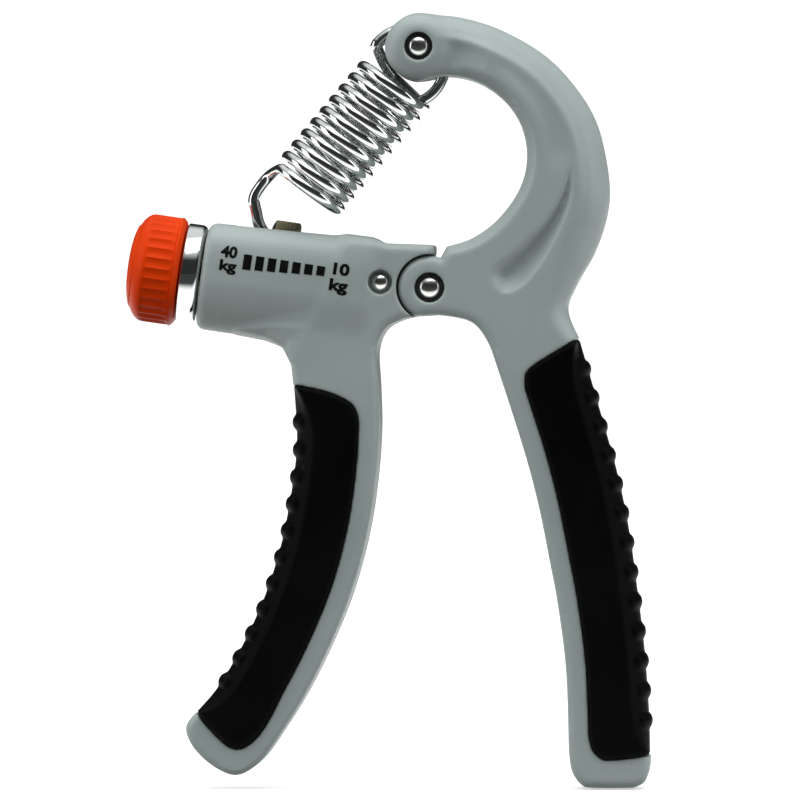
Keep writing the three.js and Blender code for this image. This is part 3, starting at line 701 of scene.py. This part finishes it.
def traveller(x, y, z):
    """The nut in the barrel's slot: a hub on the screw, a stem, and a hexagon with both ends chamfered."""
    along, height = barrel_place(x, z)
    deep = np.abs(y)
    up = height - EYE_H
    from_left, from_right = along - HUB_X + HUB_HALF, HUB_X + HUB_HALF - along
    hexagon = np.maximum(deep, 0.5 * deep + 0.866 * np.abs(up)) - EYE_FLAT
    chamfer = np.maximum(1.3 - 1.86 * from_left, 0.35 - from_right)
    hexagon = np.maximum(hexagon, deep - EYE_HALF) + np.maximum(chamfer, 0)
    stem = np.maximum(deep - EYE_HALF, np.abs(height - 4) - 4)
    hub = np.hypot(y, height) - CHAMBER_R + 0.5
    body = both(np.minimum(np.minimum(hexagon, stem), hub), -np.minimum(from_left, from_right), 0.15)
    return np.maximum(body, -np.minimum(np.hypot(y, height) - 3.12, np.hypot(y, up) - EYE_R))


moulding("slot_nut", traveller, "traveller_nut", "traveller", "bronze", FINER)


# ---- Turned pieces --------------------------------------------------------------------------------
def turned(name, profile, place, material, segments=96, ribs=None):
    """A closed profile of (along, radius), turned round an axis. place(along, side, up) gives X, Y, Z."""
    profile = np.array(profile, float)
    angles = np.linspace(0, 2 * math.pi, segments, endpoint=False)
    points, rows = [], []
    for along, radius in profile:
        if radius < 1e-6:
            rows.append([len(points)])
            points.append(place(along, 0.0, 0.0))
            continue
        row = []
        for angle in angles:
            r = radius - (ribs(along, radius, angle) if ribs else 0.0)
            row.append(len(points))
            points.append(place(along, r * math.sin(angle), r * math.cos(angle)))
        rows.append(row)
    faces = []
    closed = len(rows[0]) > 1
    pairs = list(zip(rows[:-1], rows[1:])) + ([(rows[-1], rows[0])] if closed else [])
    for first, second in pairs:
        for i in range(segments):
            j = (i + 1) % segments
            if len(first) == 1:
                faces.append((first[0], second[j], second[i]))
            elif len(second) == 1:
                faces.append((first[i], first[j], second[0]))
            else:
                faces.append((first[i], first[j], second[j], second[i]))
    made = mesh_object(name, points, faces, material)
    tidy = bmesh.new()
    tidy.from_mesh(made.data)
    bmesh.ops.recalc_face_normals(tidy, faces=tidy.faces)
    tidy.to_mesh(made.data)
    tidy.free()
    made.data.shade_smooth()
    return made


def sharpened(piece, degrees=38):
    piece.data.set_sharp_from_angle(angle=math.radians(degrees))
    return piece


def on_barrel_axis(along, side, up):
    x, z = on_barrel(along, up)
    return (x, -side, z)


def rivet_axis(centre, way):
    """Along runs out of the front face for way -1, and out of the rear face for way 1."""
    return lambda along, side, up: (centre[0] + side, way * along, centre[1] + up)


def rounded(profile, radius=0.25, steps=4):
    """A profile with its corners rounded; points on the axis stay."""
    points = [np.array(p, float) for p in profile]
    out = []
    for i, point in enumerate(points):
        before, after = points[i - 1], points[(i + 1) % len(points)]
        to_before, to_after = before - point, after - point
        reach = min(radius, np.linalg.norm(to_before) / 2.2, np.linalg.norm(to_after) / 2.2)
        if point[1] < 1e-6 or reach < 1e-3:
            out.append(point)
            continue
        start = point + to_before / np.linalg.norm(to_before) * reach
        stop = point + to_after / np.linalg.norm(to_after) * reach
        for k in range(steps + 1):
            t = k / steps
            out.append((1 - t) ** 2 * start + 2 * t * (1 - t) * point + t**2 * stop)
    return out


def finish(piece, body, slot, *nodes):
    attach(piece, body)
    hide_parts(*nodes)
    return piece


def rivet(name, centre, shank, head, under, top, node, body):
    """One rivet from face to face: a shank with a domed head at both ends."""
    angles = np.radians(np.linspace(90, 18, 12))
    low = math.sin(angles[-1])
    dome = [
        (under + (top - under) * (math.sin(a) - low) / (1 - low), head * math.cos(a) / math.cos(angles[-1]))
        for a in angles
    ]
    front = [(-a, r) for a, r in dome]
    back = [(a, r) for a, r in reversed(dome)]
    profile = [(front[0][0], 0.0), *front[1:], (-under, head), (-under, shank), (under, shank),
               (under, head), *back[:-1], (back[-1][0], 0.0)]
    piece = turned(name, profile, rivet_axis(centre, 1), MATERIALS["steel"], 64)
    return finish(sharpened(piece, 50), body, "steel", node)


def washer(name, centre, inner, outer, start, thick, way, node, body):
    profile = rounded([(start, inner), (start + thick, inner), (start + thick, outer), (start, outer)], 0.15)
    piece = turned(name, profile, rivet_axis(centre, way), MATERIALS["dark_steel"], 64)
    return finish(sharpened(piece, 50), body, "dark_steel", node)


RECESS_FLOOR = LEVER_HALF - 1.6
rivet("main_rivet", PIVOT, 1.7, 2.1, 9.05, 9.95, "pivot_rivet", "right_lever")
rivet("spring_rivet", HORN_PIN, 1.5, 2.0, 9.05, 9.95, "spring_pin", "right_lever")
rivet("lock_rivet", LOCK_PIN, 1.5, 2.0, 8.5, 9.85, "lock_pin", "left_lever")
for end, way in (("front", -1), ("rear", 1)):
    start = RECESS_FLOOR + 0.15
    washer(f"main_washer_{end}", PIVOT, 1.85, 2.85, start, 0.6, way, f"pivot_washer_{end}", "right_lever")
    washer(f"spring_washer_{end}", HORN_PIN, 1.65, 2.65, start, 0.6, way,
           f"spring_pin_washer_{end}", "right_lever")


def dome_rise(radius, depth=4.0):
    """How far behind the nose's tip the knob's dome is at a radius."""
    return depth * (1 - math.sqrt(max(0.0, 1 - (radius / KNOB_R) ** 2.6)))


def knob_shell():
    step_r = 8.4
    nose = [(KNOB_FRONT + dome_rise(r), r) for r in np.linspace(step_r, KNOB_R - 0.01, 26)]
    rib_end = KNOB_FRONT + 9.0
    sides = [(a, KNOB_R) for a in np.linspace(KNOB_FRONT + 4.05, rib_end, 9)]
    lip = [
        (rib_end + 0.10, KNOB_R - 0.10), (rib_end + 0.25, KNOB_R + 0.10), (KNOB_BACK - 0.9, KNOB_R + 0.12),
        (KNOB_BACK - 0.25, KNOB_R - 0.45), (KNOB_BACK, KNOB_R - 0.95),
    ]
    inside = [(KNOB_BACK, 3.3), (KNOB_FRONT + 2.9, 3.3), (KNOB_FRONT + 2.9, 8.1),
              (KNOB_FRONT + dome_rise(step_r) + 0.2, step_r - 0.05)]

    def ribs(along, radius, angle):
        if radius < KNOB_R - 0.02 or radius > KNOB_R + 0.02:
            return 0.0
        start, stop = KNOB_FRONT + 3.4, rib_end + 0.05
        share = min(1.0, max(0.0, (along - start) / 0.5)) * min(1.0, max(0.0, (stop - along) / 0.25))
        wave = 0.5 - 0.5 * math.cos(KNOB_RIBS * angle)
        return 0.30 * share * wave**0.45

    piece = turned("ribbed_knob", nose + sides + lip + inside, on_barrel_axis,
                   MATERIALS["orange_plastic"], KNOB_RIBS * 8, ribs)
    return finish(sharpened(piece, 42), "screw_and_knob", "orange_plastic", "knob")


def knob_nose():
    edge = 8.32
    dome = [(KNOB_FRONT + dome_rise(r) - 0.22, r) for r in np.linspace(0, edge - 0.25, 26)]
    rim, back = KNOB_FRONT + dome_rise(edge), KNOB_FRONT + 2.6
    profile = dome + [(rim - 0.08, edge), (rim + 0.5, edge), (back, 7.8), (back, 0.0)]
    piece = turned("knob_nose_cap", profile, on_barrel_axis, MATERIALS["orange_plastic"], 128)
    return finish(sharpened(piece, 42), "screw_and_knob", "orange_plastic", "knob_cap")


def chrome_collar():
    bore = 6.9
    profile = [(-COLLAR_LEN, bore), (-CLEAR, bore), (-CLEAR, COLLAR_R - 1.1)]
    profile += [(-CLEAR - 1.1 + 1.1 * math.cos(a), COLLAR_R - 1.1 + 1.1 * math.sin(a))
                for a in np.radians(np.linspace(10, 90, 9))]
    profile += [
        (-COLLAR_LEN + 0.35, COLLAR_R), (-COLLAR_LEN + 0.1, COLLAR_R - 0.1), (-COLLAR_LEN, COLLAR_R - 0.35),
    ]
    piece = turned("chrome_collar", profile, on_barrel_axis, MATERIALS["chrome"], 128)
    return finish(sharpened(piece, 50), "left_lever", "chrome", "collar")


knob_shell()
knob_nose()
chrome_collar()


# ---- The spring: one wire -------------------------------------------------------------------------
SPRING_ALONG = (COIL_HEAD - COIL_FOOT) / np.linalg.norm(COIL_HEAD - COIL_FOOT)
SPRING_ACROSS = np.array([SPRING_ALONG[1], -SPRING_ALONG[0]])
LOOP_TURN, COIL_START = 9.3, 0.6


def spring_point(up, out, back):
    x, z = COIL_FOOT + up * SPRING_ALONG + out * SPRING_ACROSS
    return np.array([x, back, z])


def coil_point(turn):
    angle = 2 * math.pi * turn + math.pi
    return spring_point(COIL_PITCH * turn - COIL_START, COIL_R * math.cos(angle), COIL_R * math.sin(angle))


def in_plane(points):
    return [np.array([x, 0.0, z]) for x, z in points]


def even_line(points, spacing):
    """A smooth line through points in space, in even steps."""
    knots = np.array(points)
    last = len(knots) - 1
    dense = []
    for i in range(last):
        before, start, end, after = knots[max(i - 1, 0)], knots[i], knots[i + 1], knots[min(i + 2, last)]
        reach = np.linalg.norm(end - start)
        slope_in = (end - before) / max(np.linalg.norm(end - before), 1e-6) * reach
        slope_out = (after - start) / max(np.linalg.norm(after - start), 1e-6) * reach
        for t in np.linspace(0, 1, 8, endpoint=False):
            dense.append(
                (2 * t**3 - 3 * t**2 + 1) * start + (t**3 - 2 * t**2 + t) * slope_in
                + (3 * t**2 - 2 * t**3) * end + (t**3 - t**2) * slope_out
            )
    dense.append(knots[-1])
    dense = np.array(dense)
    run = np.append(0, np.cumsum(np.linalg.norm(np.diff(dense, axis=0), axis=1)))
    stops = np.linspace(0, run[-1], int(run[-1] / spacing))
    return np.stack([np.interp(stops, run, dense[:, k]) for k in range(3)], axis=1)


def wire_along(name, line, radius, material, sides=18):
    """A round wire along a line, with rounded ends."""
    along = np.gradient(line, axis=0)
    along /= np.linalg.norm(along, axis=1)[:, None]
    normal = np.cross(along[0], (0, 1, 0.001))
    rings = []
    for i, (point, way) in enumerate(zip(line, along)):
        normal = normal - way * normal.dot(way)
        normal /= np.linalg.norm(normal)
        rings.append((point, way, normal.copy(), np.cross(way, normal), 1.0))
    first, last = rings[0], rings[-1]
    caps = [(0.95, 0.31), (0.71, 0.71), (0.31, 0.95)]
    head = [(first[0] - first[1] * radius * s, *first[1:4], c) for s, c in caps]
    tail = [(last[0] + last[1] * radius * s, *last[1:4], c) for s, c in reversed(caps)]
    rings = head + rings + tail
    angles = np.linspace(0, 2 * math.pi, sides, endpoint=False)
    points = [
        point + radius * size * (math.cos(a) * normal + math.sin(a) * other)
        for point, way, normal, other, size in rings for a in angles
    ]
    faces = []
    for r in range(len(rings) - 1):
        for i in range(sides):
            j = (i + 1) % sides
            faces.append((r * sides + i, r * sides + j, (r + 1) * sides + j, (r + 1) * sides + i))
    faces.append(tuple(reversed(range(sides))))
    faces.append(tuple(range((len(rings) - 1) * sides, len(rings) * sides)))
    return mesh_object(name, points, faces, material)


def tension_spring():
    hook = in_plane(arc(HOOK_CENTRE, HOOK_R, 305, 186, 17))
    shank = [np.array([-27.4, 0.0, 117.4]), np.array([-26.0, -0.1, 120.0]), np.array([-24.2, -0.5, 122.0])]
    coils = [coil_point(t) for t in np.linspace(0.08, LOOP_TURN + 0.5, 230)]
    loop = in_plane(arc(LOOP_CENTRE, LOOP_R, 146, -110, 34))
    line = even_line([*hook, *shank, *coils, *loop], 0.55)
    spring = wire_along("tension_spring", line, WIRE_R, MATERIALS["chrome"])
    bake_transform(spring)
    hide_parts("spring_hook", "spring_coils", "spring_loop")


tension_spring()


# ---- The printed scale ----------------------------------------------------------------------------
def front_surface(x, z):
    """Y of the left lever's front skin at points in X and Z."""
    outer, inner = np.full(x.shape, -13.0), np.full(x.shape, -8.6)
    for _ in range(14):
        middle_y = (outer + inner) / 2
        within = left_body(x, middle_y, z) < 0
        inner = np.where(within, middle_y, inner)
        outer = np.where(within, outer, middle_y)
    return (outer + inner) / 2


def lettering(text):
    """Bold lettering as a mesh, extruded, in the font's own size."""
    curve = bpy.data.curves.new("lettering", "FONT")
    curve.body = text
    curve.extrude = 0.5
    curve.offset = 0.04
    curve.resolution_u = 4
    holder = bpy.data.objects.new("lettering", curve)
    bpy.context.scene.collection.objects.link(holder)
    bpy.context.view_layer.update()
    mesh = bpy.data.meshes.new_from_object(holder)
    bpy.data.objects.remove(holder)
    bpy.data.curves.remove(curve)
    return mesh


def bar_mesh():
    mesh = bpy.data.meshes.new("bar")
    corners = [(x, y, z) for z in (-0.5, 0.5) for x, y in ((0, 0), (1, 0), (1, 1), (0, 1))]
    sides = [(3, 2, 1, 0), (4, 5, 6, 7), (0, 1, 5, 4), (1, 2, 6, 5), (2, 3, 7, 6), (3, 0, 4, 7)]
    mesh.from_pydata(corners, [], sides)
    return mesh


def print_on_barrel(marks):
    """Lays flat marks on the lever's skin: (mesh, middle along, middle height, wide, tall)."""
    sheet = bmesh.new()
    for mesh, along, height, wide, tall in marks:
        mark = bmesh.new()
        mark.from_mesh(mesh)
        bmesh.ops.remove_doubles(mark, verts=mark.verts, dist=1e-5)
        spots = np.array([v.co[:2] for v in mark.verts])
        low, size = spots.min(0), np.ptp(spots, axis=0)
        for v in mark.verts:
            v.co.x = along + ((v.co.x - low[0]) / size[0] - 0.5) * wide
            v.co.y = height + ((v.co.y - low[1]) / size[1] - 0.5) * tall
        for level in np.arange(height - tall / 2 + 0.35, height + tall / 2, 0.35):
            parts = mark.verts[:] + mark.edges[:] + mark.faces[:]
            bmesh.ops.bisect_plane(mark, geom=parts, plane_co=(0, level, 0), plane_no=(0, 1, 0))
        placed = bpy.data.meshes.new("mark")
        mark.to_mesh(placed)
        mark.free()
        sheet.from_mesh(placed)
        bpy.data.meshes.remove(placed)
    spots = np.array([v.co for v in sheet.verts])
    flat = BARREL_END + spots[:, :1] * BARREL_ALONG + spots[:, 1:2] * BARREL_UP
    skin = front_surface(flat[:, 0], flat[:, 1])
    proud = np.where(spots[:, 2] > 0, -0.07, 0.06)
    for v, (x, z), y in zip(sheet.verts, flat, skin + proud):
        v.co = (x * MM, y * MM, z * MM)
    bmesh.ops.triangulate(sheet, faces=sheet.faces)
    bmesh.ops.recalc_face_normals(sheet, faces=sheet.faces)
    mesh = bpy.data.meshes.new("printed_scale")
    sheet.to_mesh(mesh)
    sheet.free()
    mesh.materials.append(MATERIALS["ink"])
    made = bpy.data.objects.new("printed_scale", mesh)
    bpy.context.scene.collection.objects.link(made)
    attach(made, "left_lever")


SCALE = [
    (lettering("40"), 5.07, 5.39, 3.26, 2.40), (lettering("kg"), 5.22, 2.33, 3.40, 2.80),
    (lettering("10"), 27.72, 5.13, 3.26, 2.46), (lettering("kg"), 27.58, 1.58, 3.68, 3.12),
]
for step in range(7):
    share = step / 6
    top, bottom = 5.37 - 0.17 * share, 2.33 + 0.97 * share
    SCALE.append((bar_mesh(), 8.92 + 14.73 * share, (top + bottom) / 2, 1.64, top - bottom))
print_on_barrel(SCALE)


# ---- Pieces that stay as they were turned ---------------------------------------------------------
slots = {part["node"]: part["material_slot"] for part in frame["record"]["subparts"]}
for name, node in frame["nodes"].items():
    for holder in node.material_slots:
        holder.material = MATERIALS[slots[name]]


# ---- Floor and surroundings -----------------------------------------------------------------------
def floor_sheet():
    reach, points = 12.0, []
    for x, y in ((-1, -1), (1, -1), (1, 1), (-1, 1)):
        points.append((x * reach / MM, y * reach / MM, -0.4))
    sheet = mesh_object("pale_floor", points, [(0, 1, 2, 3)], pale_floor())
    sheet.visible_diffuse = False


class Backdrop(Recipe):
    """White where it is seen; as light, bright overhead and dim towards the front."""

    def __init__(self):
        world = bpy.data.worlds.new("white_room")
        bpy.context.scene.world = world
        world.use_nodes = True
        self.tree = world.node_tree
        self.tree.nodes.clear()
        output = self.tree.nodes.new("ShaderNodeOutputWorld")
        way = self.node("ShaderNodeTexCoord", {}, {})
        front = self.node("ShaderNodeSeparateXYZ", {}, {0: way}, 1) * -1.0
        height = self.node("ShaderNodeSeparateXYZ", {}, {0: way}, 2)
        overhead = 0.09 + 0.91 * self.band(height, -1.0, 1.0)
        share = overhead * (1.0 - 0.22 * self.band(front, 0.35, 0.85))
        dark = self.node("ShaderNodeBackground", {}, {0: tone(0, 0, 0), 1: 0.0})
        bright = self.node("ShaderNodeBackground", {}, {0: tone(0.97, 1.0, 0.995), 1: 1.12})
        lit = self.node("ShaderNodeMixShader", {}, {0: share, 1: dark, 2: bright})
        seen = self.node("ShaderNodeBackground", {}, {0: tone(1, 1, 1), 1: 1.15})
        mirrored = 0.03 + 0.85 * self.band(height, 0.50, 0.85)
        shine = self.node("ShaderNodeMixShader", {}, {0: mirrored, 1: dark, 2: bright})
        is_glossy = self.node("ShaderNodeLightPath", {}, {}, 3)
        around = self.node("ShaderNodeMixShader", {}, {0: is_glossy, 1: lit, 2: shine})
        is_seen = self.node("ShaderNodeLightPath", {}, {})
        choice = self.node("ShaderNodeMixShader", {}, {0: is_seen, 1: around, 2: seen})
        self.feed(output, 0, choice)


floor_sheet()
Backdrop()
bpy.context.scene.view_settings.view_transform = "Standard"
